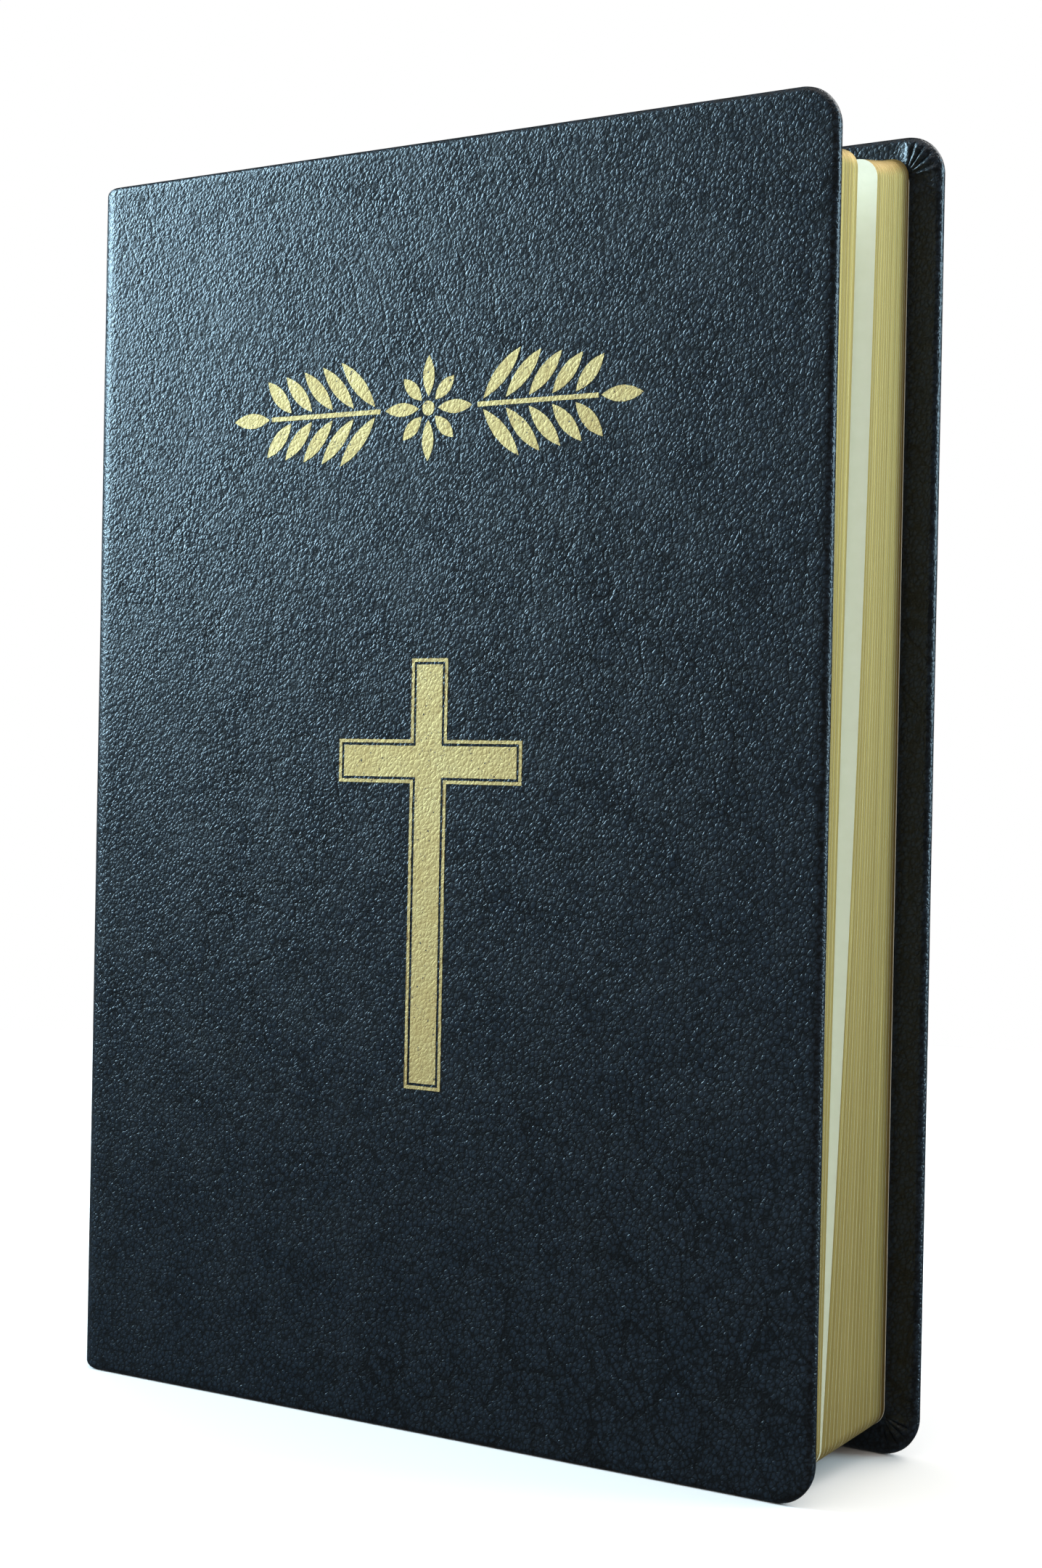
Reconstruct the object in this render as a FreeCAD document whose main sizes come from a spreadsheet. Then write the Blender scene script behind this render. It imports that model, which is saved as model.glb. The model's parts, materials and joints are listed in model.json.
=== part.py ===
import FreeCAD, Part
import math
import os
import Sketcher

# A medium-size bible in a flexible leather case, standing closed on its tail edges.
# Frame: +Z towards the head, +X from the spine to the fore-edge, -Y out of the front cover.
# The origin is at the bottom centre of the whole book.

os.makedirs("parts", exist_ok=True)
doc = FreeCAD.newDocument("bible")
sheet = doc.addObject("Spreadsheet::Sheet", "sizes")

driving_sizes = [
    ("book_height", 210.0, "tail edge to head edge of the case"),
    ("cover_width", 145.0, "spine face to fore-edge of the front cover"),
    ("back_overhang", 1.5, "how far the back cover stands past the front one"),
    ("book_thickness", 36.5, "outer face to outer face"),
    ("leather_wall", 0.7, "outer layer of the leather"),
    ("turn_in_wall", 0.4, "pared leather that is folded inside"),
    ("turn_in_width", 14.0, "how far the leather is folded inside"),
    ("board_wall", 1.0, "flexible cover board"),
    ("board_joint", 7.0, "spine face to the board's spine-side edge"),
    ("cover_corner", 6.5, "rounding of the covers' fore-edge corners"),
    ("fold_round", 0.8, "rounding along the folded leather edges"),
    ("spine_corner", 4.0, "outer rounding between spine and covers"),
    ("inlay_wall", 0.5, "card inside the spine leather"),
    ("lining_wall", 0.25, "kraft paper on the spine"),
    ("mull_wall", 0.3, "gauze glued over the folds"),
    ("lining_margin", 1.0, "lining's distance from the turned-in leather"),
    ("thread_wall", 0.45, "diameter of the sewing thread"),
    ("thread_margin", 15.0, "end of the pages to the first row of stitches"),
    ("thread_rows", 6, "rows of stitches across the folds"),
    ("fold_clearance", 0.1, "stitches to the folds of the sections"),
    ("band_bead", 2.2, "diameter of a headband's bead"),
    ("band_tongue", 12.0, "length of a headband glued down the spine"),
    ("band_wall", 0.25, "thickness of that tongue"),
    ("band_inset", 0.5, "headband's end to the end of the flat spine"),
    ("pastedown_wall", 0.15, "endpaper glued inside a cover"),
    ("pastedown_margin", 8.0, "pastedown's edge to the cover's edge"),
    ("flyleaf_wall", 0.15, "free half of an endpaper"),
    ("leaf_clearance", 0.05, "air between leaves that turn on their own"),
    ("page_width", 138.7, "fold to fore-edge of the pages"),
    ("page_square", 4.4, "how far the covers stand past the pages, head and tail"),
    ("page_corner", 3.2, "rounding of the pages' corners"),
    ("section_count", 28, "folded and sewn sections of 24 leaves"),
    ("parted_after", 11, "sections in front of the place where the leaves part"),
    ("parting_tail", 0.2, "width of the parting at the tail, at the fore-edge"),
    ("parting_head", 7.2, "width of the parting at the head, at the fore-edge"),
    ("front_leaves_tail", 8.2, "front group of sections at the fore-edge, tail"),
    ("front_leaves_head", 12.9, "front group of sections at the fore-edge, head"),
    ("section_fold", 0.34, "thickness of a section at its fold"),
    ("section_ease", 8.0, "length over which a section fills out from its fold"),
    ("foil_wall", 0.08, "pressed foil, flush with the leather"),
    ("cross_centre", 73.9, "spine face to the middle of the cross"),
    ("cross_top", 125.9, "top of the cross above the tail"),
    ("cross_length", 70.0, "height of the cross"),
    ("cross_span", 36.0, "width across its arms"),
    ("cross_limb", 7.1, "width of stem and arms"),
    ("cross_drop", 13.2, "top of the cross to the top of its arms"),
    ("cross_line", 0.55, "width of the foil outline"),
    ("cross_gap", 0.45, "bare leather between outline and inner cross"),
    ("ornament_centre", 72.6, "spine face to the middle of the laurel band"),
    ("ornament_level", 166.5, "middle of the laurel band above the tail"),
    ("ornament_length", 80.6, "laurel band, tip to tip"),
    ("ornament_height", 17.2, "height of the laurel band"),
    ("leaf_pairs", 5, "pairs of leaves on each sprig"),
]
for row, (alias, value, note) in enumerate(driving_sizes, start=1):
    sheet.set(f"A{row}", note)
    sheet.set(f"B{row}", str(value))
    sheet.setAlias(f"B{row}", alias)
doc.recompute()


def size(alias):
    return float(sheet.get(alias))


def cell(alias):
    return "sizes." + alias


# Expressions that several pieces share.
spine_face = "(-(sizes.cover_width + sizes.back_overhang) / 2)"
cover_wall = "(sizes.leather_wall + sizes.board_wall + sizes.turn_in_wall)"
flat_spine = "(sizes.book_thickness - 2 * sizes.spine_corner)"
lining_start = "(sizes.leather_wall + sizes.inlay_wall)"
thread_start = f"({lining_start} + sizes.lining_wall + sizes.mull_wall)"
fold_start = f"({thread_start} + sizes.thread_wall + sizes.fold_clearance)"
page_height = "(sizes.book_height - 2 * sizes.page_square)"
cover_widths = {
    "front": "sizes.cover_width",
    "back": "(sizes.cover_width + sizes.back_overhang)",
}
nodes = []


def depth_place(side, depth, wall):
    # y of a layer that starts at this depth below the outer face of one cover
    if side == "front":
        return f"-sizes.book_thickness / 2 + {depth}"
    return f"sizes.book_thickness / 2 - {depth} - {wall}"


def place(item, x, y, z):
    for axis, expression in zip("xyz", (x, y, z)):
        item.setExpression("Placement.Base." + axis, expression)


def keep(item, label):
    item.Label = label
    nodes.append(item)
    return item


def origin_plane(body, role):
    for feature in body.Origin.OriginFeatures:
        if feature.Role == role:
            return feature


def box(name, x, y, z, length, width, height):
    item = doc.addObject("Part::Box", name)
    item.setExpression("Length", length)
    item.setExpression("Width", width)
    item.setExpression("Height", height)
    place(item, x, y, z)
    return item


def cut(name, base, tool):
    item = doc.addObject("Part::Cut", name)
    item.Base = base
    item.Tool = tool
    return item


def fuse(name, pieces):
    item = doc.addObject("Part::MultiFuse", name)
    item.Shapes = pieces
    return item


def upright_plate(name, width, height, wall, corner, round_over=None):
    # A plate in the XZ plane with two rounded corners on the fore-edge side; its wall runs to +Y.
    body = doc.addObject("PartDesign::Body", name)
    outline = body.newObject("Sketcher::SketchObject", name + "_outline")
    outline.AttachmentSupport = [(origin_plane(body, "XZ_Plane"), "")]
    outline.MapMode = "FlatFace"
    # Drawn as a square of any size: its width and height then come from the spreadsheet.
    drawn = 20
    ends = [(0, 0), (drawn, 0), (drawn, drawn), (0, drawn)]
    for index, start in enumerate(ends):
        stop = ends[(index + 1) % 4]
        outline.addGeometry(Part.LineSegment(FreeCAD.Vector(*start, 0), FreeCAD.Vector(*stop, 0)))
    for index in range(4):
        outline.addConstraint(Sketcher.Constraint("Coincident", index, 2, (index + 1) % 4, 1))
        outline.addConstraint(Sketcher.Constraint("Vertical" if index % 2 else "Horizontal", index))
    outline.addConstraint(Sketcher.Constraint("Coincident", 0, 1, -1, 1))
    spans = (("X", "width", width), ("Y", "height", height))
    for index, (axis, constraint, expression) in enumerate(spans):
        number = outline.addConstraint(Sketcher.Constraint("Distance" + axis, index, 1, index, 2, drawn))
        outline.renameConstraint(number, constraint)
        outline.setExpression("Constraints." + constraint, expression)
    pad = body.newObject("PartDesign::Pad", name + "_pad")
    pad.Profile = outline
    pad.Reversed = True
    pad.setExpression("Length", wall)
    doc.recompute()
    far = pad.Shape.BoundBox.XMax
    chosen = []
    for number, edge in enumerate(pad.Shape.Edges, start=1):
        along_y = edge.BoundBox.YLength > edge.BoundBox.ZLength + edge.BoundBox.XLength
        if along_y and abs(edge.BoundBox.XMax - far) < 0.01:
            chosen.append(f"Edge{number}")
    corners = body.newObject("PartDesign::Fillet", name + "_corners")
    corners.Base = (pad, chosen)
    corners.setExpression("Radius", corner)
    doc.recompute()
    if round_over:
        chosen = []
        for number, edge in enumerate(corners.Shape.Edges, start=1):
            spine_side = edge.BoundBox.XMax < 0.01
            if edge.BoundBox.YLength < 0.01 and not spine_side:
                chosen.append(f"Edge{number}")
        folds = body.newObject("PartDesign::Fillet", name + "_folds")
        folds.Base = (corners, chosen)
        folds.setExpression("Radius", round_over)
        doc.recompute()
    return body


def spine_corner_strip(side):
    # The leather that wraps from the spine to one cover: a quarter of a tube.
    centre_x = f"{spine_face} + sizes.spine_corner"
    centre_y = depth_place(side, cell("spine_corner"), "0")
    tubes = []
    inner_radius = "sizes.spine_corner - sizes.leather_wall"
    for name, radius in (("outer", cell("spine_corner")), ("inner", inner_radius)):
        tube = doc.addObject("Part::Cylinder", f"{side}_corner_{name}")
        tube.Angle = 90 if name == "outer" else 360
        tube.setExpression("Radius", radius)
        tube.setExpression("Height", cell("book_height"))
        turn = 180 if side == "front" else 90
        upright = FreeCAD.Rotation(FreeCAD.Vector(0, 0, 1), turn)
        tube.Placement = FreeCAD.Placement(FreeCAD.Vector(), upright)
        place(tube, centre_x, centre_y, "0")
        tubes.append(tube)
    return cut(f"{side}_corner_strip", tubes[0], tubes[1])


def make_board(side):
    # Flexible board, filled out between the turned-in edges so that the endpaper lies flat.
    board_edge = cell("leather_wall")
    wide = f"{cover_widths[side]} - sizes.board_joint - {board_edge}"
    tall = f"sizes.book_height - 2 * {board_edge}"
    sheet_part = upright_plate(f"{side}_board_sheet", wide, tall, cell("board_wall"),
                               "sizes.cover_corner - sizes.leather_wall")
    place(sheet_part, f"{spine_face} + sizes.board_joint",
          depth_place(side, board_edge, cell("board_wall")), board_edge)
    fill_depth = f"({board_edge} + sizes.board_wall)"
    fill = box(f"{side}_board_fill", f"{spine_face} + sizes.board_joint",
               depth_place(side, fill_depth, cell("turn_in_wall")), cell("turn_in_width"),
               f"{cover_widths[side]} - sizes.board_joint - sizes.turn_in_width", cell("turn_in_wall"),
               "sizes.book_height - 2 * sizes.turn_in_width")
    return keep(fuse(f"{side}_board", [sheet_part, fill]), f"{side}_board")


def make_cover_leather(side, board, stamped):
    plate = upright_plate(f"{side}_leather_plate", f"{cover_widths[side]} - sizes.spine_corner",
                          cell("book_height"), cover_wall, cell("cover_corner"), cell("fold_round"))
    place(plate, f"{spine_face} + sizes.spine_corner", depth_place(side, "0", cover_wall), "0")
    wrapped = fuse(f"{side}_leather_wrap", [plate, spine_corner_strip(side)])
    joint_wall = f"({cover_wall} - sizes.leather_wall)"
    joint = box(f"{side}_joint_space", f"{spine_face} + sizes.spine_corner",
                depth_place(side, cell("leather_wall"), joint_wall), cell("turn_in_width"),
                "sizes.board_joint - sizes.spine_corner", joint_wall,
                "sizes.book_height - 2 * sizes.turn_in_width")
    leather = cut(f"{side}_leather_joint", wrapped, joint)
    for tool in [board] + stamped:
        leather = cut(f"{side}_leather_less_{tool.Name}", leather, tool)
    return keep(leather, f"{side}_leather")


def make_pastedown(side):
    wide = f"{cover_widths[side]} - sizes.board_joint - sizes.pastedown_margin"
    tall = "sizes.book_height - 2 * sizes.pastedown_margin"
    sheet_part = upright_plate(f"{side}_pastedown_sheet", wide, tall, cell("pastedown_wall"),
                               cell("page_corner"))
    place(sheet_part, f"{spine_face} + sizes.board_joint",
          depth_place(side, cover_wall, cell("pastedown_wall")), cell("pastedown_margin"))
    return keep(sheet_part, f"{side}_pastedown")


def make_flyleaf(side):
    depth = f"({cover_wall} + sizes.pastedown_wall + sizes.leaf_clearance)"
    leaf = upright_plate(f"{side}_flyleaf_sheet", cell("page_width"), page_height,
                         cell("flyleaf_wall"), cell("page_corner"))
    place(leaf, f"{spine_face} + {fold_start}", depth_place(side, depth, cell("flyleaf_wall")),
          cell("page_square"))
    return keep(leaf, f"{side}_flyleaf")


def make_spine():
    # Leather over a card, turned in at head and tail; kraft lining and gauze between the turn-ins.
    side_y = "-" + flat_spine + " / 2"
    inlay = box("spine_card", f"{spine_face} + sizes.leather_wall", side_y, cell("leather_wall"),
                cell("inlay_wall"), flat_spine, "sizes.book_height - 2 * sizes.leather_wall")
    keep(inlay, "spine_inlay")
    skin = box("spine_skin", spine_face, side_y, "0", f"{lining_start} + sizes.turn_in_wall",
               flat_spine, cell("book_height"))
    window = box("spine_window", f"{spine_face} + {lining_start}", side_y, cell("turn_in_width"),
                 cell("turn_in_wall"), flat_spine, "sizes.book_height - 2 * sizes.turn_in_width")
    keep(cut("spine_skin_open", cut("spine_skin_pocket", skin, inlay), window), "spine_leather")
    lining_z = "sizes.turn_in_width + sizes.lining_margin"
    lining_tall = f"sizes.book_height - 2 * ({lining_z})"
    lining = box("kraft", f"{spine_face} + {lining_start}", side_y, lining_z,
                 cell("lining_wall"), flat_spine, lining_tall)
    keep(lining, "spine_lining")
    mull = box("gauze", f"{spine_face} + {lining_start} + sizes.lining_wall", side_y, lining_z,
               cell("mull_wall"), flat_spine, lining_tall)
    keep(mull, "mull")


def make_headband(end):
    # A bead of wound thread on the ends of the folds, and the tongue that is glued down the spine.
    start_y = f"-{flat_spine} / 2 + sizes.band_inset"
    wide = f"{flat_spine} - 2 * sizes.band_inset"
    bead = doc.addObject("Part::Cylinder", f"{end}_bead")
    bead.setExpression("Radius", "sizes.band_bead / 2")
    bead.setExpression("Height", wide)
    bead.Placement = FreeCAD.Placement(FreeCAD.Vector(), FreeCAD.Rotation(FreeCAD.Vector(1, 0, 0), -90))
    stand_off = "(sizes.page_square - sizes.fold_clearance - sizes.band_bead / 2)"
    level = f"sizes.book_height - {stand_off}" if end == "head" else stand_off
    place(bead, f"{spine_face} + {thread_start} + sizes.band_bead / 2", start_y, level)
    tongue_tall = "(sizes.band_tongue + sizes.fold_clearance + sizes.band_bead / 2)"
    tongue_z = f"{level} - {tongue_tall}" if end == "head" else level
    tongue = box(f"{end}_tongue", f"{spine_face} + {thread_start}", start_y, tongue_z,
                 cell("band_wall"), wide, tongue_tall)
    keep(fuse(f"{end}_band_whole", [bead, tongue]), f"{end}_band")


def make_sewing():
    # One linked row of stitches across all the folds at each sewing station.
    rows = int(size("thread_rows"))
    stitches = []
    for row in range(rows):
        thread = doc.addObject("Part::Cylinder", f"thread_row_{row + 1}")
        thread.setExpression("Radius", "sizes.thread_wall / 2")
        thread.setExpression("Height", f"sizes.book_thickness - 2 * ({section_depth})")
        lying = FreeCAD.Rotation(FreeCAD.Vector(1, 0, 0), -90)
        thread.Placement = FreeCAD.Placement(FreeCAD.Vector(), lying)
        reach = f"({page_height} - 2 * sizes.thread_margin)"
        place(thread, f"{spine_face} + {thread_start} + sizes.thread_wall / 2",
              f"-sizes.book_thickness / 2 + {section_depth}",
              f"sizes.page_square + sizes.thread_margin + {reach} * {row} / {rows - 1}")
        stitches.append(thread)
    sewing = doc.addObject("Part::Compound", "sewing")
    sewing.Links = stitches
    return keep(sewing, "sewing_thread")


def section_profile(level, fold_y, fore_front, fore_back):
    # One section seen from above: round fold, short ease, then its two outer leaves to the fore-edge.
    fold_x = -(size("cover_width") + size("back_overhang")) / 2 + fold_offset
    radius = size("section_fold") / 2
    half = (section_pitch - size("leaf_clearance")) / 2
    ease_x = fold_x + size("section_ease")
    fore_x = fold_x + size("page_width")
    points = [
        FreeCAD.Vector(fold_x + radius, fold_y - radius, level),
        FreeCAD.Vector(ease_x, fold_y - half, level),
        FreeCAD.Vector(fore_x, fore_front, level),
        FreeCAD.Vector(fore_x, fore_back, level),
        FreeCAD.Vector(ease_x, fold_y + half, level),
        FreeCAD.Vector(fold_x + radius, fold_y + radius, level),
    ]
    edges = [Part.LineSegment(first, second).toShape() for first, second in zip(points, points[1:])]
    round_fold = Part.Arc(points[-1], FreeCAD.Vector(fold_x, fold_y, level), points[0])
    return Part.Wire(edges + [round_fold.toShape()])


def fore_edge_y(boundary, end, behind_parting):
    # y of the boundary after this many sections, at the fore-edge, at "tail" or "head"
    parted = int(size("parted_after"))
    first = first_leaf_y
    last = -first_leaf_y
    front_group = size("front_leaves_" + end)
    if not behind_parting:
        return first + front_group * boundary / parted
    main_start = first + front_group + size("parting_" + end)
    share = (boundary - parted) / (size("section_count") - parted)
    return main_start + (last - main_start) * share


def make_section(number):
    # The leaves fan from the spine to the fore-edge, so each section is ruled from tail to head;
    # no sketched pad holds that twist.
    parted = int(size("parted_after"))
    behind = number > parted
    air = size("leaf_clearance") / 2
    fold_y = first_leaf_y + section_pitch * (number - 0.5)
    wires = []
    for end, level in (("tail", 0.0), ("head", size("book_height"))):
        front_y = fore_edge_y(number - 1, end, behind) + air
        back_y = fore_edge_y(number, end, behind) - air
        wires.append(section_profile(level, fold_y, front_y, back_y))
    slab = Part.makeLoft(wires, True, True)
    item = doc.addObject("Part::Feature", f"section_{number:02d}_leaves")
    item.Shape = slab.common(page_outline.Shape).Solids[0]
    return keep(item, f"section_{number:02d}")


def cross_bars(name, margin):
    # Stem and arms of the cross, drawn in by a margin all round.
    span = {"stem": ("sizes.cross_limb", "sizes.cross_length"),
            "arms": ("sizes.cross_span", "sizes.cross_limb")}
    low = {"stem": "sizes.cross_top - sizes.cross_length",
           "arms": "sizes.cross_top - sizes.cross_drop - sizes.cross_limb"}
    bars = []
    for bar, (wide, tall) in span.items():
        bars.append(box(f"{name}_{bar}", f"{spine_face} + sizes.cross_centre - {wide} / 2 + {margin}",
                        depth_place("front", "0", "0"), f"{low[bar]} + {margin}",
                        f"{wide} - 2 * {margin}", cell("foil_wall"), f"{tall} - 2 * {margin}"))
    return fuse(name, bars)


def make_cross():
    inside = "(sizes.cross_line)"
    core = "(sizes.cross_line + sizes.cross_gap)"
    outline = cut("cross_ring", cross_bars("cross_outer", "0"), cross_bars("cross_hollow", inside))
    keep(outline, "foil_cross_outline")
    return [outline, keep(cross_bars("cross_core", core), "foil_cross")]


def pointed_leaf(root_x, root_z, length, width, angle):
    # Two arcs that meet in points, like a willow leaf, in the plane of the front cover.
    def at(along, across):
        turned_x = root_x + along * math.cos(angle) - across * math.sin(angle)
        turned_z = root_z + along * math.sin(angle) + across * math.cos(angle)
        return FreeCAD.Vector(turned_x, 0, turned_z)
    root = at(0, 0)
    tip = at(length, 0)
    upper = Part.Arc(root, at(length / 2, width / 2), tip).toShape()
    lower = Part.Arc(tip, at(length / 2, -width / 2), root).toShape()
    return Part.Face(Part.Wire([upper, lower]))


# Proportions of the laurel band, as shares of half its height unless they say otherwise.
laurel = {
    "disc": 0.14,           # radius of the rosette's middle
    "petals": 8,
    "petal_start": 0.22,
    "petal_width": 0.26,
    "short_petal": 0.82,    # every second petal reaches this far
    "stem_start": 1.12,
    "stem_stop": 0.80,      # share of half the band's length
    "stem_half": 0.045,
    "leaf_root": 0.1,       # root of a leaf above the middle of the stem
    "leaf_first": 0.25,     # first pair of leaves, in pitches from the stem's start
    "leaf_spare": 0.2,      # bare stem after the last pair, in pitches
    "leaf_lean": 48.0,      # degrees
    "leaf_width": 0.29,
    "leaf_shrink": 0.07,    # each pair is shorter than the last by this share
    "tip_start": 0.06,
    "tip_width": 0.3,
}


def make_ornament():
    # A laurel band: an eight-petal rosette between two sprigs. It repeats one leaf form, which
    # is pressed as one foil, so it is drawn here and not sketched leaf by leaf.
    half_length = size("ornament_length") / 2
    half_height = size("ornament_height") / 2
    pairs = int(size("leaf_pairs"))
    disc = Part.makeCircle(half_height * laurel["disc"], FreeCAD.Vector(), FreeCAD.Vector(0, 1, 0))
    faces = [Part.Face(Part.Wire(disc))]
    for petal in range(laurel["petals"]):
        angle = petal * 2 * math.pi / laurel["petals"]
        reach = half_height * (1.0 if petal % 2 == 0 else laurel["short_petal"])
        start = half_height * laurel["petal_start"]
        faces.append(pointed_leaf(start * math.cos(angle), start * math.sin(angle), reach - start,
                                  half_height * laurel["petal_width"], angle))
    stem_start = half_height * laurel["stem_start"]
    stem_stop = half_length * laurel["stem_stop"]
    stem_half = half_height * laurel["stem_half"]
    pitch = (stem_stop - stem_start) / (pairs + laurel["leaf_spare"])
    lean = math.radians(laurel["leaf_lean"])
    for side in (-1, 1):
        corners = [(stem_start, -stem_half), (stem_stop, -stem_half),
                   (stem_stop, stem_half), (stem_start, stem_half)]
        outline = [FreeCAD.Vector(side * x, 0, z) for x, z in corners]
        faces.append(Part.Face(Part.makePolygon(outline + outline[:1])))
        tip_start = stem_stop + half_height * laurel["tip_start"]
        tip_angle = 0 if side > 0 else math.pi
        faces.append(pointed_leaf(side * tip_start, 0, half_length - tip_start,
                                  half_height * laurel["tip_width"], tip_angle))
        for pair in range(pairs):
            root_x = stem_start + pitch * (pair + laurel["leaf_first"])
            root_z = half_height * laurel["leaf_root"]
            length = (half_height - root_z) / math.sin(lean) * (1 - laurel["leaf_shrink"] * pair)
            for up in (-1, 1):
                angle = up * lean if side > 0 else math.pi - up * lean
                faces.append(pointed_leaf(side * root_x, up * root_z, length,
                                          half_height * laurel["leaf_width"], angle))
    wall = FreeCAD.Vector(0, size("foil_wall"), 0)
    item = doc.addObject("Part::Feature", "laurel_band")
    item.Shape = Part.makeCompound([face.extrude(wall) for face in faces])
    middle = f"{spine_face} + sizes.ornament_centre"
    place(item, middle, depth_place("front", "0", "0"), cell("ornament_level"))
    return keep(item, "foil_ornament")


section_depth = f"{cover_wall} + sizes.pastedown_wall + sizes.flyleaf_wall + 2 * sizes.leaf_clearance"
first_leaf_y = (-size("book_thickness") / 2 + size("leather_wall") + size("board_wall")
                + size("turn_in_wall")
                + size("pastedown_wall") + size("flyleaf_wall") + 2 * size("leaf_clearance"))
section_pitch = -2 * first_leaf_y / size("section_count")
fold_offset = (size("leather_wall") + size("inlay_wall") + size("lining_wall") + size("mull_wall")
               + size("thread_wall") + size("fold_clearance"))

foils = make_cross() + [make_ornament()]
for cover_side, stamps in (("front", foils), ("back", [])):
    cover_board = make_board(cover_side)
    make_cover_leather(cover_side, cover_board, stamps)
    make_pastedown(cover_side)
    make_flyleaf(cover_side)
make_spine()
make_headband("head")
make_headband("tail")
make_sewing()

page_outline = upright_plate("page_block", cell("page_width"), page_height, cell("book_thickness"),
                             cell("page_corner"))
place(page_outline, f"{spine_face} + {fold_start}", "-sizes.book_thickness / 2", cell("page_square"))
doc.recompute()
for section_number in range(1, int(size("section_count")) + 1):
    make_section(section_number)
doc.recompute()

for item in doc.Objects:
    if "Invalid" in item.State or "Error" in item.State:
        raise RuntimeError(f"{item.Label} failed: {item.State}")
for item in nodes:
    if item.Shape.isNull() or not item.Shape.isValid() or not item.Shape.Solids:
        raise RuntimeError(f"{item.Label} has no valid solid")
for item in nodes:
    item.Shape.exportStep(f"parts/{item.Label}.step")
    print(f"{item.Label}: {len(item.Shape.Solids)} solid(s), {item.Shape.Volume:.1f} mm3")
print(f"{len(nodes)} nodes")
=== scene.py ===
import json
import math
import random

import bpy
from mathutils import Matrix, Vector, noise


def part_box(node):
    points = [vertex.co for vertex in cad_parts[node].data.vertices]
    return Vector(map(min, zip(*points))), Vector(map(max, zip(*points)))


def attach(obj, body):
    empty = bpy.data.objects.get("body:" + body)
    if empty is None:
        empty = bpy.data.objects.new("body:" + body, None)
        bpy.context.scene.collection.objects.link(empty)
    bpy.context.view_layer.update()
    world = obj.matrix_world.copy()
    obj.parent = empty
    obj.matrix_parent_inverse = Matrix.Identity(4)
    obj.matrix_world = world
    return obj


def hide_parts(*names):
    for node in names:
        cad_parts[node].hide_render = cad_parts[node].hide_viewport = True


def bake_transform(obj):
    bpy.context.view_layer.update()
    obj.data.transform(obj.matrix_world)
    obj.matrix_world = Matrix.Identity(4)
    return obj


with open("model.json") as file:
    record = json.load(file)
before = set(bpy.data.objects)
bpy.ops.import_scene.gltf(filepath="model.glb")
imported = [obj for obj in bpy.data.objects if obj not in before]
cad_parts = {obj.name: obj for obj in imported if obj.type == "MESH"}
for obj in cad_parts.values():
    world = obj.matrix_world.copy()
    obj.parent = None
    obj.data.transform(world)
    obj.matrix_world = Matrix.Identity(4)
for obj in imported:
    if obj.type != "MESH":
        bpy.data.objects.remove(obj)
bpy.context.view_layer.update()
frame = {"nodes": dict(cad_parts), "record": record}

mm = 0.001
random.seed(14)


def deselectAll():
    if bpy.context.object and bpy.context.object.mode != "OBJECT":
        bpy.ops.object.mode_set(mode="OBJECT")
    bpy.ops.object.select_all(action="DESELECT")


def activate(piece):
    deselectAll()
    piece.select_set(True)
    bpy.context.view_layer.objects.active = piece


def nameIt(name):
    piece = bpy.context.object
    piece.name = name
    piece.data.name = name
    return piece


def applyModifier(piece, kind, **settings):
    activate(piece)
    modifier = piece.modifiers.new(kind.title(), kind)
    for key, value in settings.items():
        setattr(modifier, key, value)
    bpy.ops.object.modifier_apply(modifier=modifier.name)


def smooth(piece, degrees=40):
    activate(piece)
    bpy.ops.object.shade_smooth_by_angle(angle=math.radians(degrees))


def flipNormals(piece):
    activate(piece)
    bpy.ops.object.mode_set(mode="EDIT")
    bpy.ops.mesh.select_all(action="SELECT")
    bpy.ops.mesh.flip_normals()
    bpy.ops.object.mode_set(mode="OBJECT")


def mix(a, b, share):
    return a + (b - a) * share


def clamp(value):
    return min(1, max(0, value))


def evenly(start, stop, count):
    return [mix(start, stop, i / count) for i in range(count + 1)]


def addGrid(name, columns, rows):
    # a flat grid whose lines lie at the given places: x from columns, y from rows
    deselectAll()
    bpy.ops.mesh.primitive_grid_add(x_subdivisions=len(columns) - 1, y_subdivisions=len(rows) - 1, size=2)
    piece = nameIt(name)
    for vertex in piece.data.vertices:
        column = round((vertex.co.x + 1) / 2 * (len(columns) - 1))
        row = round((vertex.co.y + 1) / 2 * (len(rows) - 1))
        vertex.co = (columns[column], rows[row], 0)
    return piece


def roundCorner(x, y, centreX, centreY, radius, signX, signY):
    # a square corner of grid lines becomes a quarter disc
    a = (x - centreX) * signX / radius
    b = (y - centreY) * signY / radius
    if a <= 0 or b <= 0:
        return x, y
    return (centreX + signX * radius * a * math.sqrt(1 - b * b / 2),
            centreY + signY * radius * b * math.sqrt(1 - a * a / 2))


# what the frame says about the book
frontLow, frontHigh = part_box("front_leather")
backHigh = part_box("back_leather")[1]
spineLow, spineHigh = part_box("spine_leather")
bookHeight = frontHigh.z
spineX = frontLow.x
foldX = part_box("front_flyleaf")[0].x
spineRound = spineLow.y - frontLow.y
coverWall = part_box("front_pastedown")[0].y - frontLow.y
spineWall = spineHigh.x - spineLow.x
foreX = {"front": frontHigh.x, "back": backHigh.x}
outerY = {"front": frontLow.y, "back": backHigh.y}
inward = {"front": 1, "back": -1}
arcLength = spineRound * math.pi / 2
print("frame read")


# materials

def hexColour(code):
    channels = [int(code[i:i + 2], 16) / 255 for i in (0, 2, 4)]
    return [c / 12.92 if c <= 0.04045 else ((c + 0.055) / 1.055) ** 2.4 for c in channels] + [1.0]


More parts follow.
